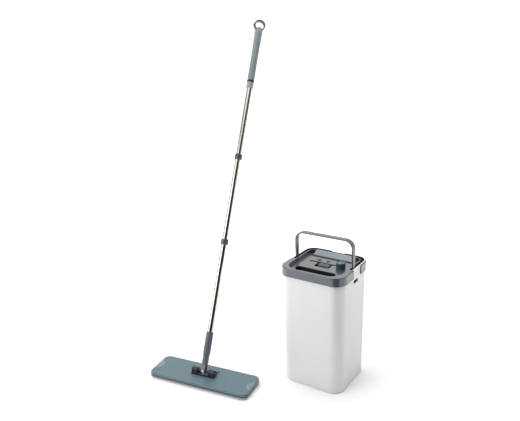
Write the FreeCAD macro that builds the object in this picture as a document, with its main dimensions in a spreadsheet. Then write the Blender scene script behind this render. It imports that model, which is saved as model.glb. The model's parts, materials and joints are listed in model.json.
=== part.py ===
import FreeCAD, Part
import math
import os
import re
import Sketcher

# A flat mop and its tall two-slot wash bucket, as one set.
# Millimetres, +Z up.  The origin is on the floor at the centre of the set's bounding box.
# +X runs along the bucket's width, -Y is the bucket's front.

SIZES = [
    # places on the floor
    ("bucket_x", 189.484), ("bucket_y", -7.371), ("mop_x", -118.416), ("mop_y", -242.171), ("mop_turn", 9.2),
    # bucket shell
    ("shell_bottom_width", 199.0), ("shell_bottom_depth", 189.0), ("shell_top_width", 206.0),
    ("shell_top_depth", 195.0), ("shell_corner", 34.0), ("shell_wall", 2.5), ("shell_floor", 3.0),
    ("rim_height", 385.0), ("front_rim_drop", 4.3), ("foot_height", 2.0), ("foot_radius", 9.0),
    ("foot_inset", 34.0), ("split_y", 18.0), ("notch_width", 45.0), ("notch_depth", 12.0),
    ("window_width", 30.0), ("window_height", 11.0), ("window_y", 4.0), ("window_z", 343.0),
    ("divider_top", 325.0), ("divider_thick", 3.0), ("band_start", 35.0), ("band_height", 27.0),
    ("band_gap", 0.2), ("band_thick", 3.0), ("band_drop", 4.0),
    # insert: lid border, skirt and basin
    ("lid_overhang", 4.0), ("lid_thick", 4.0), ("skirt_height", 27.0), ("skirt_thick", 3.0),
    ("basin_width", 181.0), ("basin_front", 94.2), ("basin_back", 84.0), ("basin_corner", 28.0),
    ("basin_drop", 15.0), ("recess_width", 174.0), ("recess_front", 92.0), ("recess_back", 81.0),
    ("recess_corner", 36.0), ("recess_rear_corner", 20.0), ("recess_overlap", 20.0),
    ("recess_depth", 11.0), ("recess_round", 1.5), ("slot_round", 0.8),
    ("lid_round", 3.5),
    ("slot_centre", -2.0), ("slot_length", 134.0), ("wash_slot_y", -57.0), ("wash_slot_width", 30.0),
    ("wash_slot_corner", 14.5), ("slot_corner", 3.0), ("window_corner", 4.0), ("oval_corner", 4.4),
    ("wring_slot_y", 53.5), ("wring_slot_width", 8.0), ("window_x", -2.5), ("block_window_y", -5.25),
    ("block_window_length", 49.0), ("block_window_width", 29.5), ("rib_slot_y", 13.0),
    ("rib_slot_x", -13.0), ("rib_slot_length", 88.0), ("rib_slot_width", 8.0),
    ("oval_length", 14.0), ("oval_width", 9.0), ("oval_y", 30.0), ("oval_start", -2.0), ("oval_pitch", 30.0),
    ("ramp_foot", 58.5), ("ramp_head", 80.5), ("ramp_rise", 11.5), ("ramp_thick", 2.0),
    # bail and the channel that it folds into
    ("channel_gap", 0.5), ("channel_width", 9.0), ("channel_wall", 1.0), ("channel_drop", 18.0),
    ("bail_width", 197.0), ("bail_reach", 92.5), ("bail_strap", 17.0), ("bail_eye", 11.0),
    ("bail_thick", 5.0), ("bail_pin_start", 86.0),
    ("bail_corner", 29.0), ("bail_pivot", 379.0), ("bail_pin_radius", 2.5), ("running_gap", 0.05),
    # knob, cam and scraper
    ("knob_x", 52.0), ("knob_y", 5.0), ("knob_radius", 14.5), ("knob_foot", 374.5),
    ("knob_height", 17.0), ("knob_rim", 2.0), ("flute_radius", 1.6), ("shaft_radius", 4.0),
    ("cam_radius", 12.0), ("cam_offset", 2.5), ("cam_bottom", 355.0), ("cam_height", 8.0),
    ("bar_front", 38.0), ("bar_thick", 6.0), ("bar_bottom", 352.0), ("bar_height", 15.0),
    ("follower_gap", 0.5), ("follower_width", 12.0), ("block_x", 2.0), ("block_length", 36.0),
    ("block_width", 20.0),
    ("block_y", -4.0), ("block_bottom", 360.0), ("block_top", 377.5), ("arm_width", 14.0),
    ("blade_reach", 5.5), ("blade_bottom", 344.0), ("blade_tip", 1.2),
    # squeeze roller
    ("roller_y", 67.5), ("roller_z", 354.0), ("roller_radius", 9.0), ("core_radius", 6.0),
    ("axle_radius", 2.5), ("roller_length", 130.0), ("bracket_thick", 3.0), ("bracket_width", 20.0),
    ("screw_radius", 1.7), ("screw_head", 3.2), ("screw_length", 9.0),
    # scrubbing strips beside the wash slot
    ("strip_thick", 3.0), ("strip_height", 26.0), ("rib_count", 15), ("rib_width", 3.0), ("rib_reach", 1.6),
    # latches
    ("latch_thick", 3.0), ("latch_gap", 2.0), ("latch_width", 26.0), ("latch_bottom", 334.0),
    ("latch_top", 364.0),
    # mop head
    ("plate_length", 350.0), ("plate_width", 112.0), ("plate_corner", 20.0), ("pad_thick", 7.0),
    ("base_thick", 4.0), ("base_inset", 1.5), ("cover_thick", 8.0), ("cover_round", 3.0),
    ("pad_margin", 1.0), ("flap_radius", 23.0), ("flap_depth", 1.6), ("flap_gap", 0.8),
    # hinge bracket and universal joint
    ("bracket_length", 82.0), ("foot_width", 24.0), ("foot_thick", 3.0), ("head_screw_x", 14.5), ("foot_window_x", 10.5), ("foot_window_y", 9.6),
    ("foot_window_corner", 3.0),
    ("boss_inner", 20.0), ("boss_outer", 40.0), ("boss_radius", 8.5), ("pivot_height", 31.0),
    ("saddle_inner", 15.0), ("saddle_outer", 39.0), ("saddle_front", 21.0), ("saddle_back", 34.0),
    ("saddle_rise", 4.0), ("saddle_corner", 4.0), ("saddle_round", 1.5),
    ("hub_size", 11.0), ("hub_depth", 10.0), ("arm_radius", 4.5), ("pin_radius", 3.0),
    ("side_gap", 0.3), ("ear_thick", 3.5), ("ear_radius", 6.0), ("pole_back", 28.0), ("pole_side", 1.25),
    # pole, measured from the joint's centre
    ("neck_start", 14.0), ("neck_wide", 24.0), ("neck_radius", 10.6), ("neck_tip", 7.0),
    ("sleeve_start", 52.0), ("sleeve_end", 123.7), ("sleeve_radius", 11.7), ("sleeve_top", 11.3),
    ("tube_radius", 10.5), ("tube_wall", 0.8), ("tube_start", 70.0), ("joint_low", 418.3),
    ("joint_high", 710.4), ("tube_end", 1140.0), ("collar_length", 15.5), ("collar_radius", 12.9),
    ("plug_length", 70.0), ("button_radius", 3.0), ("button_rise", 38.0), ("button_proud", 1.4),
    ("button_depth", 3.2), ("button_turn", 32.0),
    ("ferrule_start", 956.0), ("ferrule_end", 977.5), ("ferrule_radius", 12.5), ("ring_end", 984.5),
    ("grip_radius", 12.8), ("grip_waist", 12.4), ("grip_end", 1158.0), ("cap_end", 1166.5), ("cap_radius", 14.2),
    ("socket_foot", 13.4), ("socket_top", 10.8), ("socket_end", 1181.0), ("socket_gap", 0.3),
    ("loop_centre", 1190.5), ("loop_radius", 19.3), ("loop_wall", 3.2), ("loop_band", 14.5),
    ("loop_turn", 35.0), ("stem_radius", 5.0), ("stem_start", 1160.0),
]

doc = FreeCAD.newDocument("flat_mop_set")
sheet = doc.addObject("Spreadsheet::Sheet", "Sizes")
for row, (alias, value) in enumerate(SIZES, start=1):
    sheet.set(f"A{row}", alias)
    sheet.set(f"B{row}", str(value))
    sheet.setAlias(f"B{row}", alias)
doc.recompute()

ALIASES = {alias for alias, value in SIZES}
pieces = []         # every sub-part that is exported


def bound(text):
    """The expression with each size written as the sheet's cell."""
    return re.sub(r"[a-z_]+", lambda word: "Sizes." + word.group() if word.group() in ALIASES
                  else word.group(), str(text))


def size(text):
    """The expression's value in millimetres or degrees."""
    return float(sheet.evalExpression(bound(text)))


def place(x=0, y=0, z=0, axis=(0, 0, 1), angle=0):
    """A placement from expressions for its position and its turn."""
    spot = FreeCAD.Vector(size(x), size(y), size(z))
    return FreeCAD.Placement(spot, FreeCAD.Rotation(FreeCAD.Vector(*axis), size(angle)))


BUCKET = place("bucket_x", "bucket_y")
MOP = place("mop_x", "mop_y", 0, (0, 0, 1), "mop_turn")
CROSS = MOP * place(0, 0, "pivot_height", (1, 0, 0), "-pole_back")
POLE = CROSS * place(0, 0, 0, (0, 1, 0), "-pole_side")


# ---------------------------------------------------------------- helpers for bodies and sketches

def new_body(label, frame):
    """A PartDesign body that becomes one exported sub-part."""
    body = doc.addObject("PartDesign::Body", label)
    body.Label = label
    body.Placement = frame
    pieces.append(body)
    return body


def new_sketch(body, name, role, height):
    """A sketch on one of the body's origin planes, moved along the plane's normal."""
    sketch = body.newObject("Sketcher::SketchObject", f"{body.Name}_{name}")
    plane = [item for item in body.Origin.OriginFeatures if item.Role == role][0]
    sketch.AttachmentSupport = [(plane, "")]
    sketch.MapMode = "FlatFace"
    sketch.setExpression("AttachmentOffset.Base.z", bound(height))
    return sketch


def name_size(sketch, constraint, name, text):
    """Adds a dimension to a sketch and binds it to the sheet."""
    index = sketch.addConstraint(constraint)
    sketch.renameConstraint(index, name)
    sketch.setExpression(f"Constraints.{name}", bound(text))


def polygon(body, name, role, height, corners):
    """A closed outline through corners given as pairs of expressions."""
    sketch = new_sketch(body, name, role, height)
    spots = [FreeCAD.Vector(size(x), size(y), 0) for x, y in corners]
    for index, spot in enumerate(spots):
        sketch.addGeometry(Part.LineSegment(spot, spots[(index + 1) % len(spots)]))
    for index, (x, y) in enumerate(corners):
        before = (index - 1) % len(corners)
        sketch.addConstraint(Sketcher.Constraint("Coincident", before, 2, index, 1))
        for letter, kind, text, value in (("x", "DistanceX", x, spots[index].x),
                                          ("y", "DistanceY", y, spots[index].y)):
            if abs(value) < 1e-9:
                line = -2 if letter == "x" else -1
                sketch.addConstraint(Sketcher.Constraint("PointOnObject", index, 1, line))
            else:
                name_size(sketch, Sketcher.Constraint(kind, -1, 1, index, 1, value),
                          f"{letter}{index}", text)
    return sketch


def rounded(body, name, height, width, depth, corner, x=0, y=0, role="XY_Plane"):
    """A rectangle with rounded corners, centred on x and y."""
    sketch = new_sketch(body, name, role, height)
    half_w, half_d, turn = size(width) / 2, size(depth) / 2, size(corner)
    mid_x, mid_y = size(x), size(y)
    centres = [(mid_x + sx * (half_w - turn), mid_y + sy * (half_d - turn))
               for sx, sy in ((1, 1), (-1, 1), (-1, -1), (1, -1))]
    for index, (cx, cy) in enumerate(centres):
        circle = Part.Circle(FreeCAD.Vector(cx, cy, 0), FreeCAD.Vector(0, 0, 1), turn)
        start = index * math.pi / 2
        sketch.addGeometry(Part.ArcOfCircle(circle, start, start + math.pi / 2))
    for index in range(4):
        start = sketch.Geometry[index].EndPoint
        end = sketch.Geometry[(index + 1) % 4].StartPoint
        sketch.addGeometry(Part.LineSegment(start, end))
    for index in range(4):
        sketch.addConstraint(Sketcher.Constraint("Tangent", index, 2, index + 4, 1))
        sketch.addConstraint(Sketcher.Constraint("Tangent", index + 4, 2, (index + 1) % 4, 1))
        kind = "Horizontal" if index % 2 == 0 else "Vertical"
        sketch.addConstraint(Sketcher.Constraint(kind, index + 4))
    for index in (1, 2, 3):
        sketch.addConstraint(Sketcher.Constraint("Equal", 0, index))
    name_size(sketch, Sketcher.Constraint("Radius", 0, turn), "corner", corner)
    name_size(sketch, Sketcher.Constraint("DistanceX", -1, 1, 0, 3, centres[0][0]), "right",
              f"({x}) + ({width}) / 2 - ({corner})")
    name_size(sketch, Sketcher.Constraint("DistanceX", -1, 1, 2, 3, centres[2][0]), "left",
              f"({x}) - ({width}) / 2 + ({corner})")
    name_size(sketch, Sketcher.Constraint("DistanceY", -1, 1, 0, 3, centres[0][1]), "far",
              f"({y}) + ({depth}) / 2 - ({corner})")
    name_size(sketch, Sketcher.Constraint("DistanceY", -1, 1, 2, 3, centres[2][1]), "near",
              f"({y}) - ({depth}) / 2 + ({corner})")
    return sketch


def circle(body, name, role, height, radius, x=0, y=0):
    """A circle centred on x and y."""
    sketch = new_sketch(body, name, role, height)
    centre = FreeCAD.Vector(size(x), size(y), 0)
    sketch.addGeometry(Part.Circle(centre, FreeCAD.Vector(0, 0, 1), size(radius)))
    name_size(sketch, Sketcher.Constraint("Radius", 0, size(radius)), "radius", radius)
    for letter, kind, text, value in (("x", "DistanceX", x, centre.x), ("y", "DistanceY", y, centre.y)):
        if abs(value) < 1e-9:
            sketch.addConstraint(Sketcher.Constraint("PointOnObject", 0, 3, -2 if letter == "x" else -1))
        else:
            name_size(sketch, Sketcher.Constraint(kind, -1, 1, 0, 3, value), letter, text)
    return sketch


def pad(sketch, length, midplane=False):
    """Adds material along the sketch's normal."""
    feature = sketch.getParentGeoFeatureGroup().newObject("PartDesign::Pad", sketch.Name + "_pad")
    feature.Profile = sketch
    feature.setExpression("Length", bound(length))
    feature.Midplane = midplane
    doc.recompute()
    return feature


def pocket(sketch, depth, upwards=False, midplane=False):
    """Cuts from the sketch, down unless upwards is set, and proves that it cut something."""
    body = sketch.getParentGeoFeatureGroup()
    before = body.Tip.Shape.Volume
    feature = body.newObject("PartDesign::Pocket", sketch.Name + "_pocket")
    feature.Profile = sketch
    feature.setExpression("Length", bound(depth))
    feature.Reversed = upwards
    feature.Midplane = midplane
    doc.recompute()
    if not feature.Shape.Volume < before - 0.01:
        raise SystemExit(f"{feature.Name} cuts nothing")
    return feature


def revolve(sketch):
    """Turns a profile about the sketch's upright axis."""
    body = sketch.getParentGeoFeatureGroup()
    feature = body.newObject("PartDesign::Revolution", sketch.Name + "_turn")
    feature.Profile = sketch
    feature.ReferenceAxis = (sketch, ["V_Axis"])
    feature.Angle = 360.0
    doc.recompute()
    return feature


def round_edges(body, radius, chosen):
    """Fillets the edges of the body's last feature that the test picks."""
    last = body.Tip
    names = [f"Edge{index}" for index, edge in enumerate(last.Shape.Edges, start=1) if chosen(edge)]
    feature = body.newObject("PartDesign::Fillet", body.Name + "_round")
    feature.Base = (last, names)
    feature.setExpression("Radius", bound(radius))
    doc.recompute()
    return feature


def level(edge, height):
    """True for an edge that lies flat at the height."""
    box = edge.BoundBox
    return abs(box.ZMin - height) < 1e-4 and abs(box.ZMax - height) < 1e-4


def inside(edge, half_width, front, back):
    """True for an edge that lies within a half width of the middle and between front and back."""
    box = edge.BoundBox
    return (max(-box.XMin, box.XMax) < size(half_width) + 0.01 and box.YMin > size(front) - 0.01
            and box.YMax < size(back) + 0.01)


def rod(name, radius, length, frame):
    """A Part cylinder that is a tool or a member of a group."""
    item = doc.addObject("Part::Cylinder", name)
    item.setExpression("Radius", bound(radius))
    item.setExpression("Height", bound(length))
    item.Placement = frame
    return item


def block(name, low, high):
    """A Part box between two corners given as expressions."""
    item = doc.addObject("Part::Box", name)
    for side, start, end in zip(("Length", "Width", "Height"), low, high):
        item.setExpression(side, bound(f"({end}) - ({start})"))
    item.Placement = place(*low)
    return item


def keep(item, label, frame=None):
    """Makes a Part object an exported sub-part."""
    item.Label = label
    if frame is not None:
        item.Placement = frame
    pieces.append(item)
    return item


def group(label, members, frame):
    """Identical separate solids that share one sub-part."""
    item = doc.addObject("Part::Compound", label)
    item.Links = members
    return keep(item, label, frame)


def fuse(name, members):
    """One solid from several overlapping ones."""
    item = doc.addObject("Part::MultiFuse", name)
    item.Shapes = members
    item.Refine = True
    return item


def cut(name, base, tool):
    """The base less the tool."""
    item = doc.addObject("Part::Cut", name)
    item.Base = base
    item.Tool = tool
    return item


def ring(label, outer, inner, start, end, frame, side_hole=None):
    """A plain tube along the frame's own z, with a hole in its side if one is given."""
    solid = rod(label + "_outside", outer, f"({end}) - ({start})", place(0, 0, start))
    if side_hole is not None:
        solid = cut(label + "_drilled", solid, side_hole)
    hole = rod(label + "_hole", inner, f"({end}) - ({start}) + 2", place(0, 0, f"({start}) - 1"))
    return keep(cut(label, solid, hole), label, frame)


ALONG_X = {"axis": (0, 1, 0), "angle": "90"}
ALONG_Y = {"axis": (1, 0, 0), "angle": "-90"}


# ---------------------------------------------------------------- bucket shell

def loft(body, name, kind, low, high):
    """A loft between two rounded outlines."""
    feature = body.newObject(kind, f"{body.Name}_{name}")
    feature.Profile = low
    feature.Sections = [high]
    feature.Ruled = True
    doc.recompute()
    return feature


def make_bucket_shell():
    body = new_body("bucket_shell", BUCKET)
    low = rounded(body, "outside_low", "foot_height", "shell_bottom_width", "shell_bottom_depth",
                  "shell_corner")
    high = rounded(body, "outside_high", "rim_height", "shell_top_width", "shell_top_depth",
                   "shell_corner")
    loft(body, "outside", "PartDesign::AdditiveLoft", low, high)
    inner = "2 * shell_wall"
    low = rounded(body, "inside_low", "foot_height + shell_floor", f"shell_bottom_width - {inner}",
                  f"shell_bottom_depth - {inner}", "shell_corner - shell_wall")
    high = rounded(body, "inside_high", "rim_height + 0.01", f"shell_top_width - {inner}",
                   f"shell_top_depth - {inner}", "shell_corner - shell_wall")
    loft(body, "inside", "PartDesign::SubtractiveLoft", low, high)
    front = polygon(body, "front_rim", "XY_Plane", "rim_height + 1",
                    [("-shell_top_width", "-shell_top_depth"), ("shell_top_width", "-shell_top_depth"),
                     ("shell_top_width", "-split_y"), ("-shell_top_width", "-split_y")])
    pocket(front, "front_rim_drop + 1")
    notch = rounded(body, "notch", "rim_height + 1", "notch_width", "20", "4", 0, "shell_top_depth / 2")
    pocket(notch, "notch_depth + 1")
    window = rounded(body, "windows", 0, "window_width", "window_height", "2", "window_y", "window_z",
                     "YZ_Plane")
    pocket(window, "shell_top_width + 10", midplane=True)


def make_divider_wall():
    """The wall that keeps the wash water in front from the wrung water behind."""
    body = new_body("divider_wall", BUCKET)
    fit = "(2 * shell_wall + 0.2)"
    low = rounded(body, "foot", "foot_height + shell_floor + 0.2", f"shell_bottom_width - {fit}",
                  "divider_thick", "0.5", 0, -3)
    high = rounded(body, "top", "divider_top", f"shell_top_width - {fit} - 2", "divider_thick", "0.5", 0, -3)
    loft(body, "wall", "PartDesign::AdditiveLoft", low, high)


def make_rear_band():
    """The grey band that closes the rim's outside behind the bail."""
    body = new_body("rear_band", BUCKET)
    start = "rim_height - band_drop - band_height"
    reach = "2 * (band_gap + band_thick)"
    pad(rounded(body, "outside", start, f"shell_top_width + {reach}", f"shell_top_depth + {reach}",
                "shell_corner + band_gap + band_thick"), "band_height")
    round_edges(body, "1", lambda edge: edge.BoundBox.ZLength < 1e-4)
    hole = rounded(body, "inside", f"{start} - 1", "shell_top_width + 2 * band_gap",
                   "shell_top_depth + 2 * band_gap", "shell_corner + band_gap")
    pocket(hole, "band_height + 2", upwards=True)
    far = "shell_top_width"
    front = polygon(body, "front", "XY_Plane", f"{start} - 1",
                    [(f"-{far}", f"-{far}"), (far, f"-{far}"), (far, "band_start"), (f"-{far}", "band_start")])
    pocket(front, "band_height + 2", upwards=True)


def make_feet():
    members = []
    for index, (side, end) in enumerate(((-1, -1), (1, -1), (1, 1), (-1, 1))):
        x = f"{side} * (shell_bottom_width / 2 - foot_inset)"
        y = f"{end} * (shell_bottom_depth / 2 - foot_inset)"
        members.append(rod(f"foot_{index}", "foot_radius", "foot_height", place(x, y, 0)))
    group("rubber_feet", members, BUCKET)


# ---------------------------------------------------------------- insert

def make_insert_tray():
    body = new_body("insert_tray", BUCKET)
    wide = "shell_top_width + 2 * lid_overhang"
    deep = "shell_top_depth + 2 * lid_overhang"
    skirt_foot = "rim_height - skirt_height"
    pad(rounded(body, "lid", skirt_foot, wide, deep, "shell_corner + lid_overhang"), "skirt_height")
    round_edges(body, "lid_round", lambda edge: level(edge, size("rim_height")))
    under = rounded(body, "under", f"{skirt_foot} - 1", f"{wide} - 2 * skirt_thick",
                    f"{deep} - 2 * skirt_thick", "shell_corner + lid_overhang - skirt_thick")
    pocket(under, "skirt_height - lid_thick + 1", upwards=True)
    far = "shell_top_width"
    rear = polygon(body, "rear", "XY_Plane", "rim_height + 1",
                   [(f"-{far}", "-split_y"), (far, "-split_y"), (far, far), (f"-{far}", far)])
    pocket(rear, "skirt_height + 2")
    pad(rounded(body, "basin", "rim_height - basin_drop", "basin_width", "basin_front + basin_back",
                "basin_corner", 0, "(basin_back - basin_front) / 2"), "basin_drop")
    for name, front, back, corner in (("recess_front", "recess_front", "recess_overlap", "recess_corner"),
                                      ("recess_back", "recess_overlap", "recess_back",
                                       "recess_rear_corner")):
        pocket(rounded(body, name, "rim_height + 1", "recess_width", f"{front} + {back}", corner, 0,
                       f"({back} - {front}) / 2"), "recess_depth + 1")
    round_edges(body, "recess_round", lambda edge: level(edge, size("rim_height"))
                and inside(edge, "recess_width / 2", "-recess_front", "recess_back"))
    through = "basin_drop + 1"
    pocket(rounded(body, "wash_slot", "rim_height", "slot_length", "wash_slot_width", "wash_slot_corner",
                   "slot_centre", "wash_slot_y"), through)
    pocket(rounded(body, "wring_slot", "rim_height", "slot_length", "wring_slot_width", "slot_corner",
                   "slot_centre", "wring_slot_y"), through)
    pocket(rounded(body, "block_window", "rim_height", "block_window_length", "block_window_width",
                   "window_corner", "window_x", "block_window_y"), through)
    pocket(rounded(body, "rib_slot", "rim_height", "rib_slot_length", "rib_slot_width", "slot_corner",
                   "rib_slot_x", "rib_slot_y"), through)
    for index, shift in enumerate((-1, 0)):
        pocket(rounded(body, f"oval_{index}", "rim_height", "oval_length", "oval_width", "oval_corner",
                       f"oval_start + {shift} * oval_pitch", "oval_y"), through)
    pocket(circle(body, "shaft_hole", "XY_Plane", "rim_height", "shaft_radius + running_gap", "knob_x",
                  "knob_y"), through)
    round_edges(body, "slot_round", lambda edge: level(edge, size("rim_height - recess_depth"))
                and inside(edge, "slot_length / 2 + 3", "wash_slot_y - wash_slot_width / 2", "ramp_foot")
                and not abs(edge.CenterOfMass.x - size("knob_x")) < size("shaft_radius"))


def make_rear_panel():
    """The sloping panel between the wring slot and the rear rim."""
    body = doc.addObject("PartDesign::Body", "ramp")
    floor = "rim_height - recess_depth"
    profile = polygon(body, "profile", "YZ_Plane", "slot_centre - slot_length / 2",
                      [("ramp_foot", f"{floor} + 0.05"), ("ramp_foot + 4", f"{floor} + 0.05"),
                       ("ramp_head", f"{floor} + ramp_rise - ramp_thick"),
                       ("ramp_head", f"{floor} + ramp_rise"),
                       ("ramp_head - 4", f"{floor} + ramp_rise"), ("ramp_foot", f"{floor} + ramp_thick")])
    pad(profile, "slot_length")
    limit = doc.addObject("PartDesign::Body", "ramp_limit")
    pad(rounded(limit, "outline", f"{floor} - 5", "recess_width - 1", "recess_back + recess_overlap - 1",
                "recess_rear_corner - 0.5", 0, "(recess_back - recess_overlap) / 2"), "recess_depth + 10")
    panel = doc.addObject("Part::Common", "rear_panel_shape")
    panel.Base = body
    panel.Tool = limit
    keep(panel, "rear_panel", BUCKET)


def make_bail_channel():
    """The dark channel round the rear rim that the bail folds into."""
    body = new_body("bail_channel", BUCKET)
    inset = "2 * (shell_wall + channel_gap)"
    wide = f"shell_top_width - {inset}"
    deep = f"shell_top_depth - {inset}"
    corner = "shell_corner - shell_wall - channel_gap"
    foot = "rim_height - channel_drop"
    pad(rounded(body, "outside", foot, wide, deep, corner), "channel_drop - 0.5")
    pocket(rounded(body, "trough", "rim_height", f"{wide} - 2 * channel_wall",
                   f"{deep} - 2 * channel_wall", f"{corner} - channel_wall"),
           "channel_drop - channel_wall")
    cheek = "2 * (channel_width - channel_wall)"
    pad(rounded(body, "inner_wall", foot, f"{wide} - {cheek}", f"{deep} - {cheek}",
                f"{corner} - channel_width + channel_wall"), "channel_drop - 0.5")
    pocket(rounded(body, "inside", "rim_height", f"{wide} - 2 * channel_width",
                   f"{deep} - 2 * channel_width", f"{corner} - channel_width"), "channel_drop + 1")
    far = "shell_top_width"
    front = polygon(body, "front", "XY_Plane", "rim_height",
                    [(f"-{far}", f"-{far}"), (far, f"-{far}"), (far, "-split_y + 0.3"),
                     (f"-{far}", "-split_y + 0.3")])
    pocket(front, "channel_drop + 1")
    gap = rounded(body, "gap", "rim_height", "notch_width", "8", "2", 0, f"({deep}) / 2")
    pocket(gap, "notch_depth")


def make_bail():
    body = new_body("bail", BUCKET * place(0, 0, "bail_pivot"))
    pad(rounded(body, "outside", 0, "bail_width", "2 * bail_reach", "bail_corner", role="XZ_Plane"),
        "bail_strap", midplane=True)
    inner = rounded(body, "inside", 0, "bail_width - 2 * bail_thick", "2 * (bail_reach - bail_thick)",
                    "bail_corner - bail_thick", role="XZ_Plane")
    pocket(inner, "bail_strap + 2", midplane=True)
    far = "bail_width"
    lower = polygon(body, "lower", "XZ_Plane", 0,
                    [(f"-{far}", f"-{far}"), (far, f"-{far}"), (far, 0), (f"-{far}", 0)])
    pocket(lower, "bail_strap + 2", midplane=True)
    half = size("bail_strap") / 2
    round_edges(body, "0.9", lambda edge: abs(abs(edge.BoundBox.YMin) - half) < 1e-4
                and edge.BoundBox.YLength < 1e-4 and edge.BoundBox.ZMax > 1)
    for name, side in (("front_taper", -1), ("back_taper", 1)):
        full = f"{side} * bail_strap / 2"
        beyond = f"{side} * bail_strap"
        taper = polygon(body, name, "YZ_Plane", 0,
                        [(f"{side} * bail_eye / 2", -1), (full, "bail_reach - bail_corner"),
                         (beyond, "bail_reach - bail_corner"), (beyond, -1)])
        pocket(taper, "bail_width + 4", midplane=True)
    inner_face = "bail_width / 2 - bail_thick"
    pad(circle(body, "right_eye", "YZ_Plane", inner_face, "bail_eye / 2"), "bail_thick")
    pad(circle(body, "left_eye", "YZ_Plane", "-bail_width / 2", "bail_eye / 2"), "bail_thick")
    pocket(circle(body, "pin_holes", "YZ_Plane", 0, "bail_pin_radius + running_gap"), "bail_width + 4",
           midplane=True)


def make_bail_pins():
    members = []
    for side in (-1, 1):
        start = "bail_pin_start" if side > 0 else "-bail_width / 2"
        members.append(rod(f"bail_pin_{side + 1}", "bail_pin_radius", "bail_width / 2 - bail_pin_start",
                           place(start, 0, "bail_pivot", **ALONG_X)))
    group("bail_pins", members, BUCKET)


def make_scrub_strips():
    """Ribbed strips that rub both faces of the pad in the wash slot."""
    top = "rim_height - basin_drop - 0.1"
    low = f"{top} - strip_height"
    for label, side in (("front_scrub_strip", -1), ("rear_scrub_strip", 1)):
        body = new_body(label, BUCKET)
        face = f"wash_slot_y + {side} * (wash_slot_width / 2 + rib_reach)"
        back = f"{face} + {side} * strip_thick"
        left = "slot_centre - slot_length / 2"
        right = "slot_centre + slot_length / 2"
        pad(polygon(body, "back", "XY_Plane", low,
                    [(left, min(face, back, key=size)), (right, min(face, back, key=size)),
                     (right, max(face, back, key=size)), (left, max(face, back, key=size))]),
            "strip_height")
        tip = f"{face} - {side} * rib_reach"
        near, away = sorted((face, tip), key=size)
        rib = pad(polygon(body, "rib", "XY_Plane", low,
                          [(f"{left} + 2", near), (f"{left} + 2 + rib_width", near),
                           (f"{left} + 2 + rib_width", away), (f"{left} + 2", away)]), "strip_height")
        row = body.newObject("PartDesign::LinearPattern", label + "_ribs")
        row.Originals = [rib]
        row.Direction = (rib.Profile[0], ["H_Axis"])
        row.setExpression("Length", bound("slot_length - 4 - rib_width"))
        row.Occurrences = int(size("rib_count"))
        body.Tip = row
        doc.recompute()


# ---------------------------------------------------------------- knob, cam and scraper

def make_knob():
    body = new_body("knob", BUCKET * place("knob_x", "knob_y", "knob_foot"))
    pad(circle(body, "disc", "XY_Plane", 0, "knob_radius"), "knob_height")
    round_edges(body, "1.6", lambda edge: level(edge, size("knob_height")))
    dish = circle(body, "dish", "XY_Plane", "knob_height + 1", "knob_radius - knob_rim")
    pocket(dish, "1.8")
    flute = circle(body, "flute", "XY_Plane", -1, "flute_radius", "knob_radius + 0.6", 0)
    tool = pocket(flute, "knob_height - 3", upwards=True)
    ring_of_flutes = body.newObject("PartDesign::PolarPattern", "knob_flutes")
    ring_of_flutes.Originals = [tool]
    ring_of_flutes.Axis = (flute, ["N_Axis"])
    ring_of_flutes.Angle = 360.0
    ring_of_flutes.Occurrences = 20
    body.Tip = ring_of_flutes
    doc.recompute()
    pocket(circle(body, "socket", "XY_Plane", -1, "shaft_radius"), "9", upwards=True)


def make_knob_shaft():
    at = BUCKET * place("knob_x", "knob_y", "cam_bottom")
    keep(rod("knob_shaft", "shaft_radius", "knob_foot + 8 - cam_bottom", at), "knob_shaft")


def make_cam():
    """An off-centre disc: a quarter turn of the knob pushes the scraper bar by cam_offset."""
    disc = rod("cam_disc", "cam_radius", "cam_height", place(0, "-cam_offset", 0))
    bore = rod("cam_bore", "shaft_radius", "cam_height + 2", place(0, 0, -1))
    keep(cut("cam", disc, bore), "cam", BUCKET * place("knob_x", "knob_y", "cam_bottom"))


def make_scraper():
    half = "roller_length / 2"
    back = "bar_front + bar_thick"
    top = "bar_bottom + bar_height"
    beam = block("scraper_beam", (f"-{half}", "bar_front", "bar_bottom"), (half, back, top))
    face = "knob_y + cam_radius - cam_offset + follower_gap"
    arm = block("follower_arm", ("knob_x - follower_width / 2", face, "cam_bottom + 1"),
                ("knob_x + follower_width / 2", "bar_front + 1", "cam_bottom + cam_height - 1"))
    middle = "block_x"
    link = block("block_arm", (f"{middle} - arm_width / 2", "block_y + block_width / 2", "block_bottom + 1"),
                 (f"{middle} + arm_width / 2", "bar_front + 1", "block_bottom + 6"))
    rib = block("rib", ("rib_slot_x - rib_slot_length / 2 + 6", "rib_slot_y - 3.4", "block_bottom + 1"),
                ("rib_slot_x + rib_slot_length / 2 - 6", "rib_slot_y - 1.4", "rim_height - basin_drop - 0.6"))
    keep(fuse("scraper_bar", [beam, arm, link, rib]), "scraper_bar", BUCKET)

    body = new_body("press_block", BUCKET)
    half_width = "block_width / 2"
    low_y = f"block_y - {half_width}"
    high_y = f"block_y + {half_width}"
    pad(polygon(body, "section", "YZ_Plane", f"{middle} - block_length / 2",
                [(low_y, "block_bottom"), (high_y, "block_bottom"), (high_y, "block_top"),
                 (low_y, "block_top")]), "block_length")
    round_edges(body, "4", lambda edge: level(edge, size("block_top")) and edge.BoundBox.XLength > 10)

    body = new_body("wiper_blade", BUCKET)
    tip = "bar_front + bar_thick + blade_reach"
    pad(polygon(body, "section", "YZ_Plane", f"-{half}",
                [(back, "blade_bottom + 8"), (back, f"{top} - 2"), (f"{back} + 2.2", f"{top} - 2"),
                 (tip, "blade_bottom + blade_tip"), (tip, "blade_bottom"), (f"{tip} - 1.4", "blade_bottom")]),
        "roller_length")


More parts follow.
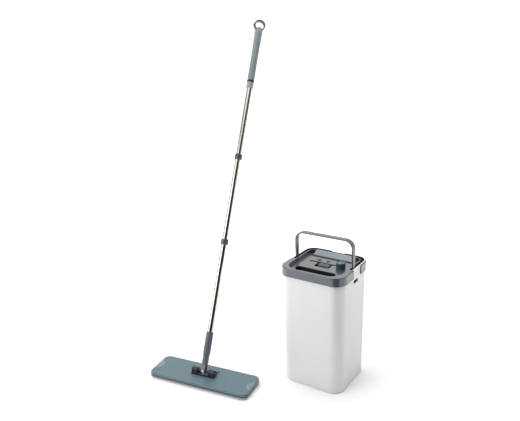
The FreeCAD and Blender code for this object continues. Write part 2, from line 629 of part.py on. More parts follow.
def make_squeeze_roller():
    at = BUCKET * place("-roller_length / 2", "roller_y", "roller_z", **ALONG_X)
    ring("roller_core", "core_radius", "axle_radius + running_gap", 0, "roller_length", at)
    ring("roller_sleeve", "roller_radius", "core_radius", 4, "roller_length - 4", at)
    reach = "roller_length + 2 * bracket_thick + 4"
    axle = BUCKET * place(f"-({reach}) / 2", "roller_y", "roller_z", **ALONG_X)
    keep(rod("roller_axle", "axle_radius", reach, axle), "roller_axle")
    top = "rim_height - basin_drop - 0.1"
    screws = []
    for label, side in (("left_bracket", -1), ("right_bracket", 1)):
        body = new_body(label, BUCKET)
        inner = f"{side} * (roller_length / 2 + 0.6)"
        outer = f"{side} * (roller_length / 2 + 0.6 + bracket_thick)"
        start = min(inner, outer, key=size)
        low_y = "roller_y - bracket_width / 2"
        high_y = "roller_y + bracket_width / 2"
        pad(polygon(body, "plate", "YZ_Plane", start,
                    [(f"{low_y} + 5", "roller_z - 8"), (f"{high_y} - 5", "roller_z - 8"),
                     (high_y, "roller_z - 2"), (high_y, top), (low_y, top), (low_y, "roller_z - 2")]),
            "bracket_thick")
        pocket(circle(body, "bore", "YZ_Plane", start, "axle_radius", "roller_y", "roller_z"),
               "2 * bracket_thick + 2", midplane=True)
        foot = f"{side} * (roller_length / 2 + 0.6 + bracket_thick)"
        tab = f"{side} * (roller_length / 2 + 13)"
        near, away = sorted((foot, tab), key=size)
        pad(polygon(body, "tab", "XY_Plane", f"{top} - 2.5",
                    [(near, low_y), (away, low_y), (away, high_y), (near, high_y)]), "2.5")
        for row, y in enumerate(("roller_y - 5.5", "roller_y + 5.5")):
            spot = f"{side} * (roller_length / 2 + 8.5)"
            head = rod(f"{label}_head_{row}", "screw_head", "1.8", place(spot, y, f"{top} - 4.3"))
            shank = rod(f"{label}_shank_{row}", "screw_radius", "screw_length",
                        place(spot, y, f"{top} - 4.3"))
            screws.append(fuse(f"{label}_screw_{row}", [head, shank]))
    group("bracket_screws", screws, BUCKET)


def make_latches():
    """A tongue behind each side window, pressed in to free the insert."""
    for label, side in (("left_latch", -1), ("right_latch", 1)):
        body = new_body(label, BUCKET)
        wall = "shell_top_width / 2 - shell_wall - 0.35"
        outer = f"{side} * ({wall} - latch_gap)"
        inner = f"{side} * ({wall} - latch_gap - latch_thick)"
        pad(rounded(body, "tongue", min(inner, outer, key=size), "latch_width",
                    "latch_top - latch_bottom", "3", "window_y", "(latch_top + latch_bottom) / 2",
                    "YZ_Plane"), "latch_thick")


# ---------------------------------------------------------------- mop head

def make_mop_plates():
    body = new_body("mop_pad", MOP)
    pad(rounded(body, "outline", 0, "plate_length + 2 * pad_margin", "plate_width + 2 * pad_margin",
                "plate_corner + pad_margin"), "pad_thick - 0.3")
    round_edges(body, "2", lambda edge: edge.BoundBox.ZLength < 1e-4 and edge.BoundBox.ZMin < 1)

    body = new_body("base_plate", MOP)
    pad(rounded(body, "outline", "pad_thick", "plate_length - 2 * base_inset",
                "plate_width - 2 * base_inset", "plate_corner - base_inset"), "base_thick")

    body = new_body("top_plate", MOP)
    foot = "pad_thick + base_thick"
    pad(rounded(body, "outline", foot, "plate_length", "plate_width", "plate_corner"), "cover_thick")
    round_edges(body, "cover_round", lambda edge: level(edge, size(f"{foot} + cover_thick")))
    for index, side in enumerate((-1, 1)):
        pad(rounded(body, f"saddle_{index}", f"{foot} + cover_thick - 0.5", "saddle_outer - saddle_inner",
                    "saddle_back - saddle_front", "saddle_corner", f"{side} * (saddle_outer + saddle_inner) / 2",
                    "(saddle_back + saddle_front) / 2"), "saddle_rise + 0.5")
        round_edges(body, "saddle_round", lambda edge: level(edge, size(f"{foot} + cover_thick + saddle_rise"))
                    and side * edge.CenterOfMass.x > 0)
        recess = circle(body, f"recess_{index}", "XY_Plane", f"{foot} + cover_thick + 1", "flap_radius",
                        f"{side} * (plate_length / 2 + 2)", 0)
        pocket(recess, "flap_depth + 1")


def make_end_flaps():
    """D-shaped soft pads let into both short ends of the plate."""
    top = "pad_thick + base_thick + cover_thick"
    members = []
    for index, side in enumerate((-1, 1)):
        disc = rod(f"flap_disc_{index}", "flap_radius - flap_gap", "flap_depth - 0.6",
                   place(f"{side} * (plate_length / 2 + 2)", 0, f"{top} - flap_depth + 0.02"))
        low, high = sorted((f"{side} * (plate_length / 2 - 30)", f"{side} * (plate_length / 2 - 2.5)"),
                           key=size)
        limit = block(f"flap_limit_{index}", (low, "-plate_width / 2", f"{top} - 4"),
                      (high, "plate_width / 2", f"{top} + 4"))
        flap = doc.addObject("Part::Common", f"flap_{index}")
        flap.Base = disc
        flap.Tool = limit
        members.append(flap)
    group("end_flaps", members, MOP)


def make_hinge_bracket():
    body = new_body("hinge_bracket", MOP)
    floor = "pad_thick + base_thick + cover_thick"
    half = "bracket_length / 2"
    wide = "foot_width / 2"
    pad(polygon(body, "foot", "XY_Plane", floor,
                [(f"-{half}", f"-{wide}"), (half, f"-{wide}"), (half, wide), (f"-{half}", wide)]),
        "foot_thick")
    pocket(rounded(body, "window", f"{floor} - 1", "2 * foot_window_x", "2 * foot_window_y",
                   "foot_window_corner"), "foot_thick + 2", upwards=True)
    for name, start in (("left", "-boss_outer"), ("right", "boss_inner")):
        length = "boss_outer - boss_inner"
        pad(polygon(body, f"{name}_post", "YZ_Plane", start,
                    [("-boss_radius - 2", f"{floor} + foot_thick - 0.5"),
                     ("boss_radius + 2", f"{floor} + foot_thick - 0.5"),
                     ("boss_radius * 0.95", "pivot_height + 2"), ("-boss_radius * 0.95", "pivot_height + 2")]),
            length)
        pad(circle(body, f"{name}_boss", "YZ_Plane", start, "boss_radius", 0, "pivot_height"), length)
    pocket(circle(body, "pin_bore", "YZ_Plane", 0, "pin_radius", 0, "pivot_height"),
           "2 * boss_outer + 4", midplane=True)


def make_head_screws():
    members = []
    for index, (side, end) in enumerate(((-1, -1), (1, -1), (1, 1), (-1, 1))):
        x = f"{side} * head_screw_x"
        y = f"{end} * (foot_width / 2 - 4)"
        top = "pad_thick + base_thick + cover_thick + foot_thick"
        head = rod(f"head_screw_top_{index}", "screw_head", "1.4", place(x, y, top))
        shank = rod(f"head_screw_shank_{index}", "screw_radius", "screw_length",
                    place(x, y, f"{top} - screw_length + 0.5"))
        members.append(fuse(f"head_screw_{index}", [head, shank]))
    group("head_screws", members, MOP)


def make_tilt_pins():
    members = []
    for index, start in enumerate(("-boss_outer", "boss_inner - 11")):
        members.append(rod(f"tilt_pin_{index}", "pin_radius", "boss_outer - boss_inner + 11",
                           place(start, 0, "pivot_height", **ALONG_X)))
    group("tilt_pins", members, MOP)


def make_cross():
    body = new_body("joint_cross", CROSS)
    reach = "boss_inner - side_gap"
    pad(circle(body, "arms", "YZ_Plane", 0, "arm_radius"), f"2 * ({reach})", midplane=True)
    pad(rounded(body, "hub", 0, "hub_size", "hub_size", "2", role="XZ_Plane"), "hub_depth", midplane=True)
    for name, start, length in (("left", f"-({reach}) - 1", "13"), ("right", f"{reach} - 12", "13")):
        pocket(circle(body, f"{name}_bore", "YZ_Plane", start, "pin_radius + running_gap"), length,
               upwards=True)
    pocket(circle(body, "pin_bore", "XZ_Plane", 0, "pin_radius + running_gap"), "hub_depth + 2",
           midplane=True)


# ---------------------------------------------------------------- pole

def make_fork():
    body = new_body("pole_fork", POLE)
    revolve(polygon(body, "neck", "XZ_Plane", 0,
                    [(0, "neck_start"), ("neck_tip", "neck_start"), ("neck_radius", "neck_wide"),
                     ("neck_radius", "sleeve_start"), ("tube_radius - tube_wall - 0.3", "sleeve_start"),
                     ("tube_radius - tube_wall - 0.3", "sleeve_end - 10"), (0, "sleeve_end - 10")]))
    inner = "hub_depth / 2 + side_gap"
    for name, start in (("near", inner), ("far", f"-({inner}) - ear_thick")):
        pad(circle(body, f"{name}_ear", "XZ_Plane", start, "ear_radius"), "ear_thick")
        pad(polygon(body, f"{name}_arm", "XZ_Plane", start,
                    [("-ear_radius", 0), ("ear_radius", 0), ("ear_radius", "neck_wide"),
                     ("-ear_radius", "neck_wide")]), "ear_thick")
    outer = f"{inner} + ear_thick"
    pad(polygon(body, "bridge", "YZ_Plane", 0,
                [(f"-({outer})", "neck_wide - 5"), (outer, "neck_wide - 5"), (outer, "neck_wide + 1"),
                 ("neck_radius - 0.5", "neck_wide + 8"), ("-neck_radius + 0.5", "neck_wide + 8"),
                 (f"-({outer})", "neck_wide + 1")]), "2 * ear_radius", midplane=True)
    pocket(circle(body, "pin_bores", "XZ_Plane", 0, "pin_radius"), "4 * hub_depth", midplane=True)


def make_fork_pins():
    reach = "hub_depth / 2 + side_gap + ear_thick"
    start = POLE * place(0, f"-({reach})", 0, **ALONG_Y)
    keep(rod("fork_pin", "pin_radius", f"2 * ({reach})", start), "fork_pins")


def turned(label, frame, corners):
    """A hollow piece turned about the frame's own z."""
    body = new_body(label, frame)
    revolve(polygon(body, "section", "XZ_Plane", 0, corners))
    return body


def button_place():
    """The snap button's inner end in the pole's frame, with its axis pointing out of the tube."""
    height = "joint_low + collar_length / 2 + button_rise / 2"
    return place(0, 0, height, (0, 0, 1), "button_turn") * place(0, "-tube_radius + button_depth", 0,
                                                                  (1, 0, 0), "90")


def button_hole(name):
    return rod(name, "button_radius + running_gap", "tube_radius", button_place() * place(0, 0, -2))


def make_pole():
    bore = "tube_radius + 0.02"
    spigot = "tube_radius - tube_wall - 0.28"
    turned("pole_sleeve", POLE,
           [(spigot, "sleeve_start + 0.02"), ("sleeve_radius", "sleeve_start + 0.02"),
            ("sleeve_radius", "sleeve_end - 20"), ("sleeve_top", "sleeve_end"), (bore, "sleeve_end"),
            (bore, "tube_start - 0.1"), ("neck_radius - 0.3", "tube_start - 0.1"),
            ("neck_radius - 0.3", "sleeve_start + 3"), (spigot, "sleeve_start + 3")])
    inside = "tube_radius - tube_wall"
    ring("lower_tube", "tube_radius", inside, "tube_start", "joint_low", POLE)
    ring("middle_tube", "tube_radius", inside, "joint_low + 0.4", "joint_high", POLE,
         button_hole("tube_button_hole"))
    ring("upper_tube", "tube_radius", inside, "joint_high + 0.4", "tube_end", POLE)
    for label, middle in (("lower_collar", "joint_low"), ("upper_collar", "joint_high")):
        low = f"{middle} - collar_length / 2"
        high = f"{middle} + collar_length / 2"
        turned(label, POLE, [(bore, low), ("collar_radius - 1", low), ("collar_radius", f"{low} + 1.5"),
                             ("collar_radius", f"{high} - 1.5"), ("collar_radius - 1", high), (bore, high)])
    for label, middle, drilled in (("lower_plug", "joint_low", button_hole("plug_button_hole")),
                                   ("upper_plug", "joint_high", None)):
        ring(label, f"{inside} - 0.05", f"{inside} - 2.5", f"{middle} - plug_length / 2",
             f"{middle} + plug_length / 2", POLE, drilled)
    turned("ferrule", POLE,
           [(bore, "ferrule_start"), ("ferrule_radius - 1", "ferrule_start"),
            ("ferrule_radius", "ferrule_start + 2"), ("ferrule_radius", "ferrule_start + 6"),
            ("ferrule_radius - 0.7", "ferrule_start + 7"), ("ferrule_radius - 0.7", "ferrule_start + 9"),
            ("ferrule_radius", "ferrule_start + 10"), ("ferrule_radius", "ferrule_end - 0.02"),
            (bore, "ferrule_end - 0.02")])
    turned("grip_ring", POLE,
           [(bore, "ferrule_end"), ("grip_radius - 1.6", "ferrule_end"), ("grip_radius - 1.6", "ferrule_end + 3"),
            ("grip_radius", "ferrule_end + 4"), ("grip_radius", "ring_end - 0.02"), (bore, "ring_end - 0.02")])
    turned("grip", POLE,
           [(bore, "ring_end"), ("grip_radius - 0.6", "ring_end"), ("grip_radius", "ring_end + 4"),
            ("grip_waist", "ring_end + 70"), ("grip_radius", "grip_end - 30"),
            ("grip_radius", "grip_end - 0.02"), ("4", "grip_end - 0.02"), ("4", "tube_end + 4"),
            (bore, "tube_end + 4")])
    turned("grip_cap", POLE,
           [("stem_radius + running_gap", "grip_end"), ("cap_radius - 1.2", "grip_end"),
            ("cap_radius", "grip_end + 1.5"), ("cap_radius", "cap_end - 2"),
            ("cap_radius - 0.8", "cap_end"), ("stem_radius + running_gap", "cap_end")])


def make_snap_button():
    """The sprung button that locks the lower tube joint."""
    keep(rod("snap_button", "button_radius", "button_depth + button_proud", POLE * button_place()),
         "snap_button")


def make_hang_loop():
    body = new_body("hang_loop", POLE * place(0, 0, 0, (0, 0, 1), "loop_turn"))
    pad(circle(body, "band", "XZ_Plane", 0, "loop_radius", 0, "loop_centre"), "loop_band", midplane=True)
    revolve(polygon(body, "stem", "XZ_Plane", 0,
                    [(0, "stem_start"), ("stem_radius", "stem_start"),
                     ("stem_radius", "loop_centre - loop_radius + 2"), (0, "loop_centre - loop_radius + 2")]))
    nub = polygon(body, "nub", "XZ_Plane", 0,
                  [("-loop_radius - 2.5", "loop_centre - 3"), ("-loop_radius + 1", "loop_centre - 3"),
                   ("-loop_radius + 1", "loop_centre + 3"), ("-loop_radius - 2.5", "loop_centre + 3")])
    pad(nub, "loop_band - 4", midplane=True)
    pocket(circle(body, "hole", "XZ_Plane", 0, "loop_radius - loop_wall", 0, "loop_centre"),
           "loop_band + 4", midplane=True)


def make_loop_socket():
    """The light cup round the foot of the hanging loop; it turns with the loop."""
    body = new_body("loop_socket", POLE * place(0, 0, 0, (0, 0, 1), "loop_turn"))
    low = "cap_end + socket_gap"
    revolve(polygon(body, "cone", "XZ_Plane", 0,
                    [("stem_radius + 0.02", low), ("socket_foot", low), ("socket_foot", f"{low} + 2"),
                     ("socket_top", "socket_end - 1"), ("socket_top - 1", "socket_end"),
                     ("stem_radius + 0.02", "socket_end")]))
    pocket(circle(body, "seat", "XZ_Plane", 0, "loop_radius + 0.02", 0, "loop_centre"),
           "loop_band + 0.04", midplane=True)


# ---------------------------------------------------------------- build, check and write

for make in (make_bucket_shell, make_divider_wall, make_rear_band, make_feet, make_insert_tray,
             make_rear_panel, make_bail_channel, make_bail, make_bail_pins, make_scrub_strips, make_knob,
             make_knob_shaft, make_cam, make_scraper, make_squeeze_roller, make_latches, make_mop_plates,
             make_end_flaps, make_hinge_bracket, make_head_screws, make_tilt_pins, make_cross, make_fork,
             make_fork_pins, make_pole, make_snap_button, make_hang_loop, make_loop_socket):
    make()
doc.recompute()

for item in doc.Objects:
    if "Invalid" in item.State or "Error" in item.State:
        raise SystemExit(f"{item.Label}: {item.State}")
for piece in pieces:
    if piece.Shape.isNull() or not piece.Shape.isValid() or not piece.Shape.Solids:
        raise SystemExit(f"{piece.Label}: bad shape")

os.makedirs("parts", exist_ok=True)
whole = FreeCAD.BoundBox()
for piece in pieces:
    piece.Shape.exportStep(f"parts/{piece.Label}.step")
    whole.add(piece.Shape.BoundBox)
    print(f"{piece.Label}: {len(piece.Shape.Solids)} solids, {piece.Shape.Volume:.0f} mm3")
print(f"{len(pieces)} pieces; box {whole}; centre {whole.Center}")
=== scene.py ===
"""Looks for a flat mop and its tall two-slot wash bucket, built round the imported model."""

from __future__ import annotations

import json
import logging
import math
from dataclasses import dataclass, field
from enum import Enum
from typing import Callable, Union

import bpy
from mathutils import Matrix, Vector

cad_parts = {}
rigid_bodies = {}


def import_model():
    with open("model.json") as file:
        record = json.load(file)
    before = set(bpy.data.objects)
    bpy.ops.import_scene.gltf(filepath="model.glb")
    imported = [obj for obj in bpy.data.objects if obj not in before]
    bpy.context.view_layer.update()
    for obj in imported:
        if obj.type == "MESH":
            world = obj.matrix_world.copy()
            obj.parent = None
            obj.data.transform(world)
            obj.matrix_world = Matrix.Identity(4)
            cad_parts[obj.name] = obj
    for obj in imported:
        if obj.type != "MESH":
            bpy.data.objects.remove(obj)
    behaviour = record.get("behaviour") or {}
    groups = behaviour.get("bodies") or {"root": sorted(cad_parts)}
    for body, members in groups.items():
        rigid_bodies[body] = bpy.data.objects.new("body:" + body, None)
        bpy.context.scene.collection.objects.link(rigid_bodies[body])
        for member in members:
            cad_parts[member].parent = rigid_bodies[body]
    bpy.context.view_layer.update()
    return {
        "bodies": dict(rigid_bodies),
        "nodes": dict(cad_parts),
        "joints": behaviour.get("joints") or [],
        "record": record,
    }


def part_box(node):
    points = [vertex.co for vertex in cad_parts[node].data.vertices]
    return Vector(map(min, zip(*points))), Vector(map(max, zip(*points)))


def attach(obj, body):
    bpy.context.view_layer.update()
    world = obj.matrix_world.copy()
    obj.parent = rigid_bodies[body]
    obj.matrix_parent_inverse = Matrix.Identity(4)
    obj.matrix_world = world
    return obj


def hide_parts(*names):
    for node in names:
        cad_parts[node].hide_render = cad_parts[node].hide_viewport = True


LOG = logging.getLogger("flat_mop_set")
Colour = tuple[float, float, float]

MIDDLE = 0.5  # the middle of a noise's range
MERGE_GAP = 0.00001  # points closer than this become one


# ------------------------------------------------------------------ shader maths

class Wire:
    """One output socket that Python's operators work on."""

    def __init__(self, graph: "Tree", socket: bpy.types.NodeSocket) -> None:
        """Keeps the socket and the graph that new nodes go into."""
        self.graph = graph
        self.socket = socket

    def __add__(self, other: "Term") -> "Wire":
        """The sum."""
        return self.graph.maths("ADD", self, other)

    def __sub__(self, other: "Term") -> "Wire":
        """The difference."""
        return self.graph.maths("SUBTRACT", self, other)

    def __mul__(self, other: "Term") -> "Wire":
        """The product."""
        return self.graph.maths("MULTIPLY", self, other)

    def __rsub__(self, other: float) -> "Wire":
        """A number less this value."""
        return self.graph.maths("SUBTRACT", other, self)

    __radd__ = __add__
    __rmul__ = __mul__

    def step(self, low: float, high: float) -> "Wire":
        """A smooth rise from 0 at low to 1 at high.

        Args:
            low: the value that gives 0.
            high: the value that gives 1.

        Returns:
            The mask.
        """
        node = self.graph.node("ShaderNodeMapRange", {"interpolation_type": "SMOOTHSTEP"},
                               {"Value": self, "From Min": low, "From Max": high})
        return Wire(self.graph, node.outputs["Result"])


Term = Union[Wire, float]


class Tree:
    """A node tree that expressions add their nodes to."""

    def __init__(self, tree: bpy.types.NodeTree) -> None:
        """Starts with an empty tree."""
        self.tree = tree
        self.tree.nodes.clear()

    def node(self, kind: str, settings: dict | None = None, values: dict | None = None) -> bpy.types.Node:
        """Adds a node.

        Args:
            kind: the node's type name.
            settings: the node's own properties, set first.
            values: numbers, colours or wires for its inputs, by name or number.

        Returns:
            The node.
        """
        node = self.tree.nodes.new(kind)
        for key, value in (settings or {}).items():
            setattr(node, key, value)
        for key, value in (values or {}).items():
            self.feed(node.inputs[key], value)
        return node

    def feed(self, socket: bpy.types.NodeSocket, value: "Term | Colour | tuple") -> None:
        """Links a wire to an input, or sets its number or colour."""
        if isinstance(value, Wire):
            self.tree.links.new(value.socket, socket)
        elif isinstance(value, tuple) and len(value) == 3 and socket.type == "RGBA":
            socket.default_value = (*value, 1.0)
        else:
            socket.default_value = value

    def maths(self, operation: str, first: Term, second: Term) -> Wire:
        """One Math node."""
        node = self.node("ShaderNodeMath", {"operation": operation}, {0: first, 1: second})
        return Wire(self, node.outputs["Value"])


class Graph(Tree):
    """The nodes of one material, round one Principled shader."""

    def __init__(self, name: str) -> None:
        """Makes an empty material with a shader and its output."""
        self.material = bpy.data.materials.new(name)
        self.material.use_nodes = True
        super().__init__(self.material.node_tree)
        self.shader = self.node("ShaderNodeBsdfPrincipled")
        output = self.node("ShaderNodeOutputMaterial")
        self.tree.links.new(self.shader.outputs["BSDF"], output.inputs["Surface"])

    def set(self, **values: "Term | Colour") -> None:
        """Feeds the shader's inputs; an underscore in a name stands for a space."""
        for key, value in values.items():
            self.feed(self.shader.inputs[key.replace("_", " ")], value)

    def place(self, stretch: tuple = (1.0, 1.0, 1.0), turn: tuple = (0.0, 0.0, 0.0),
              centre: tuple = (0.0, 0.0, 0.0)) -> Wire:
        """Object coordinates, moved to a centre, turned and stretched.

        Args:
            stretch: the scale on each axis.
            turn: the turn in radians.
            centre: the point that becomes the pattern's origin.

        Returns:
            The vector.
        """
        source = self.node("ShaderNodeTexCoord")
        spot = Wire(self, source.outputs["Object"])
        shift = self.node("ShaderNodeVectorMath", {"operation": "SUBTRACT"}, {0: spot, 1: centre})
        turned = self.node("ShaderNodeMapping", {"vector_type": "POINT"},
                           {"Vector": Wire(self, shift.outputs["Vector"]), "Rotation": turn})
        drawn = self.node("ShaderNodeVectorMath", {"operation": "MULTIPLY"},
                          {0: Wire(self, turned.outputs["Vector"]), 1: stretch})
        return Wire(self, drawn.outputs["Vector"])

    def noise(self, spot: Wire, pitch: float, detail: float = 2.0, rough: float = 0.5) -> Wire:
        """Smooth noise whose lumps are about pitch metres apart."""
        node = self.node("ShaderNodeTexNoise", {},
                         {"Vector": spot, "Scale": 1.0 / pitch, "Detail": detail, "Roughness": rough})
        return Wire(self, node.outputs["Fac"])

    def cells(self, spot: Wire, pitch: float) -> Wire:
        """Distance to the nearest of a field of points about pitch metres apart."""
        node = self.node("ShaderNodeTexVoronoi", {}, {"Vector": spot, "Scale": 1.0 / pitch})
        return Wire(self, node.outputs["Distance"])

    def blend(self, mask: Term, first: "Colour | Wire", second: "Colour | Wire") -> Wire:
        """Mixes two colours by a mask."""
        node = self.node("ShaderNodeMix", {"data_type": "RGBA"}, {0: mask, 6: first, 7: second})
        return Wire(self, node.outputs[2])

    def bump(self, height: Wire, depth: float, strength: float = 1.0) -> None:
        """Feeds the shader's normal with a height map, depth in metres."""
        node = self.node("ShaderNodeBump", {}, {"Height": height, "Distance": depth, "Strength": strength})
        self.set(Normal=Wire(self, node.outputs["Normal"]))


def shade(colour: Colour, factor: float) -> Colour:
    """The colour made lighter or darker."""
    return tuple(min(1.0, part * factor) for part in colour)


# ------------------------------------------------------------------ finishes

@dataclass(frozen=True)
class Moulding:
    """A moulded plastic with a spark-eroded grain and faint clouding."""

    name: str
    colour: Colour
    roughness: float = 0.45
    grain: float = 0.0007
    grain_depth: float = 0.00004
    clouding: float = 0.05
    cloud_pitch: float = 0.05
    scuff_pitch: float = 0.004
    scuff_stretch: tuple = (1.0, 1.0, 0.25)
    scuff_edge: tuple = (0.62, 0.80)
    scuff_share: float = 0.25
    scuff_light: float = 1.25
    scuff_roughness: float = 0.08
    grain_roughness: float = 0.12
    coat: float = 0.0
    coat_roughness: float = 0.15

    def material(self) -> bpy.types.Material:
        """Builds the finish."""
        graph = Graph(self.name)
        spot = graph.place()
        clouds = graph.noise(spot, self.cloud_pitch, 3.0)
        grain = graph.noise(spot, self.grain, 2.0, 0.6)
        scuffs = graph.noise(graph.place(self.scuff_stretch), self.scuff_pitch, 4.0, 0.7)
        marks = scuffs.step(*self.scuff_edge)
        tone = graph.blend(clouds, shade(self.colour, 1 - self.clouding),
                           shade(self.colour, 1 + self.clouding))
        worn = graph.blend(marks * self.scuff_share, tone, shade(self.colour, self.scuff_light))
        graph.set(Base_Color=worn, Coat_Weight=self.coat, Coat_Roughness=self.coat_roughness,
                  Roughness=(self.roughness + (grain - MIDDLE) * self.grain_roughness
                             + marks * self.scuff_roughness))
        graph.bump(grain, self.grain_depth)
        return graph.material


@dataclass(frozen=True)
class WhiteShell:
    """Glossy white polypropylene with a slight orange peel and flow marks near its edges."""

    name: str
    colour: Colour = (0.765, 0.765, 0.770)
    roughness: float = 0.30
    peel_pitch: float = 0.006
    peel_depth: float = 0.00004
    flow_pitch: float = 0.05
    flow_stretch: tuple = (1.0, 1.0, 0.15)
    flow_tones: tuple = (0.985, 1.01)
    flow_roughness: float = 0.06
    dust_pitch: float = 0.0016
    dust_edge: tuple = (0.60, 0.78)
    dust_roughness: float = 0.10
    glow: float = 0.08
    glow_depth: float = 0.006

    def material(self) -> bpy.types.Material:
        """Builds the finish."""
        graph = Graph(self.name)
        spot = graph.place()
        peel = graph.noise(spot, self.peel_pitch, 2.0)
        flow = graph.noise(graph.place(self.flow_stretch), self.flow_pitch, 3.0)
        dust = graph.noise(spot, self.dust_pitch, 4.0, 0.7).step(*self.dust_edge)
        tone = graph.blend(flow, *(shade(self.colour, part) for part in self.flow_tones))
        graph.set(Base_Color=tone, Subsurface_Weight=self.glow, Subsurface_Radius=(self.glow_depth,) * 3,
                  Roughness=(self.roughness + dust * self.dust_roughness
                             + (flow - MIDDLE) * self.flow_roughness))
        graph.bump(peel, self.peel_depth)
        return graph.material


@dataclass(frozen=True)
class DrawnSteel:
    """Polished steel with fine draw lines along one axis, and optional dark lengthwise bands painted into
    its colour as painted reflections.
    """

    name: str
    colour: Colour = (0.72, 0.70, 0.66)
    roughness: float = 0.14
    turn: tuple = (0.0, 0.0, 0.0)
    centre: tuple = (0.0, 0.0, 0.0)
    line_pitch: float = 0.0006
    line_stretch: tuple = (1.0, 1.0, 0.004)
    line_tones: tuple = (0.93, 1.06)
    line_roughness: float = 0.08
    line_depth: float = 0.00001
    smear_pitch: float = 0.02
    smear_stretch: tuple = (1.0, 1.0, 0.3)
    smear_edge: tuple = (0.5, 0.8)
    smear_roughness: float = 0.06
    # painted reflection: the share, tone, pitch and edges of dark lengthwise bands mixed into the colour
    painted_reflection_share: float = 0.0
    painted_reflection_tone: Colour = (0.115, 0.085, 0.062)
    painted_reflection_pitch: float = 0.008
    painted_reflection_edge: tuple = (0.40, 0.55)

    def material(self) -> bpy.types.Material:
        """Builds the finish."""
        graph = Graph(self.name)
        along = graph.place(self.line_stretch, self.turn, self.centre)
        lines = graph.noise(along, self.line_pitch, 3.0, 0.6)
        smeared = graph.place(self.smear_stretch, self.turn, self.centre)
        smears = graph.noise(smeared, self.smear_pitch, 3.0).step(*self.smear_edge)
        tone = graph.blend(lines, *(shade(self.colour, part) for part in self.line_tones))
        # Dark lengthwise bands painted into the colour stand in for reflections of dark surroundings:
        # painted reflection, not the steel's own tone.
        if self.painted_reflection_share:
            painted_reflection_mask = graph.noise(along, self.painted_reflection_pitch, 0.0).step(*self.painted_reflection_edge)
            tone = graph.blend(1 - (1 - painted_reflection_mask) * self.painted_reflection_share, self.painted_reflection_tone, tone)
        graph.set(Base_Color=tone, Metallic=1.0,
                  Roughness=(self.roughness + (lines - MIDDLE) * self.line_roughness
                             + smears * self.smear_roughness))
        graph.bump(lines, self.line_depth)
        return graph.material


@dataclass(frozen=True)
class SoftRubber:
    """Matte rubber with a fine stipple and a trace of bloom."""

    name: str
    colour: Colour
    roughness: float = 0.62
    stipple: float = 0.0009
    stipple_depth: float = 0.00005
    stipple_roughness: float = 0.10
    bloom_pitch: float = 0.02
    bloom_edge: tuple = (0.35, 0.75)
    bloom_tones: tuple = (0.94, 1.08)
    sheen: float = 0.08

    def material(self) -> bpy.types.Material:
        """Builds the finish."""
        graph = Graph(self.name)
        spot = graph.place()
        dots = graph.cells(spot, self.stipple)
        bloom = graph.noise(spot, self.bloom_pitch, 4.0, 0.6).step(*self.bloom_edge)
        tone = graph.blend(bloom, *(shade(self.colour, part) for part in self.bloom_tones))
        graph.set(Base_Color=tone, Sheen_Weight=self.sheen,
                  Roughness=self.roughness + (dots - MIDDLE) * self.stipple_roughness)
        graph.bump(dots, self.stipple_depth)
        return graph.material


@dataclass(frozen=True)
class Microfibre:
    """Knitted microfibre with short looped pile, with painted shade darkening the gaps between the loops.
    """

    name: str
    colour: Colour = (0.86, 0.86, 0.86)
    loop: float = 0.0022
    loop_edge: tuple = (0.1, 0.7)
    # painted shade: lighter loop tops and darker gaps between loops
    painted_pile_shade_tones: tuple = (1.05, 0.70)
    loop_share: float = 0.7
    pile_depth: float = 0.0006
    fibre_pitch: float = 0.0005
    fibre_stretch: tuple = (1.0, 1.0, 3.0)
    soil_pitch: float = 0.03
    soil_share: float = 0.35
    soil_tone: float = 0.82
    roughness: float = 0.92
    sheen: float = 0.4

    def material(self) -> bpy.types.Material:
        """Builds the finish."""
        graph = Graph(self.name)
        spot = graph.place()
        loops = graph.cells(spot, self.loop)
        fibres = graph.noise(graph.place(self.fibre_stretch), self.fibre_pitch, 3.0, 0.7)
        soiling = graph.noise(spot, self.soil_pitch, 3.0)
        # The colour follows the pile's height: loop tops lighter, gaps between loops darker; painted shade
        # in the recesses.
        painted_pile_shade = graph.blend(loops.step(*self.loop_edge),
                           *(shade(self.colour, part) for part in self.painted_pile_shade_tones))
        tone = graph.blend(soiling * self.soil_share, painted_pile_shade, shade(self.colour, self.soil_tone))
        graph.set(Base_Color=tone, Roughness=self.roughness, Sheen_Weight=self.sheen)
        graph.bump((1 - loops) * self.loop_share + fibres * (1 - self.loop_share), self.pile_depth)
        return graph.material


Finish = Union[Moulding, WhiteShell, DrawnSteel, SoftRubber, Microfibre]

# ------------------------------------------------------------------ mesh helpers


def pick(piece: bpy.types.Object) -> None:
    """Makes a piece the active one and the only one selected."""
    bpy.ops.object.select_all(action="DESELECT")
    bpy.context.view_layer.objects.active = piece
    piece.select_set(True)


def start(name: str, add: Callable[..., set], scale: tuple = (1.0, 1.0, 1.0),
          **options: object) -> bpy.types.Object:
    """Adds a primitive with nothing else selected.

    Args:
        name: the new piece's name.
        add: the bpy.ops call that adds the primitive.
        scale: the primitive's stretch along each axis.
        **options: what the call is given.

    Returns:
        The new object.
    """
    bpy.ops.object.select_all(action="DESELECT")
    add(**options)
    piece = bpy.context.object
    piece.name = name
    piece.data.name = name
    piece.scale = scale
    bpy.context.view_layer.update()
    return piece


def settle(piece: bpy.types.Object, turn: Matrix | None = None) -> None:
    """Puts a piece's place into its mesh and leaves its object at the origin.

    Args:
        piece: the object.
        turn: a matrix that places the mesh in the frame.
    """
    place = (turn or Matrix.Identity(4)) @ piece.matrix_world
    piece.data.transform(place)
    piece.matrix_world = Matrix.Identity(4)


def apply_modifier(piece: bpy.types.Object, kind: str, **settings: object) -> None:
    """Adds a modifier with its settings and applies it."""
    pick(piece)
    modifier = piece.modifiers.new(kind.title(), kind)
    for key, value in settings.items():
        setattr(modifier, key, value)
    bpy.ops.object.modifier_apply(modifier=modifier.name)


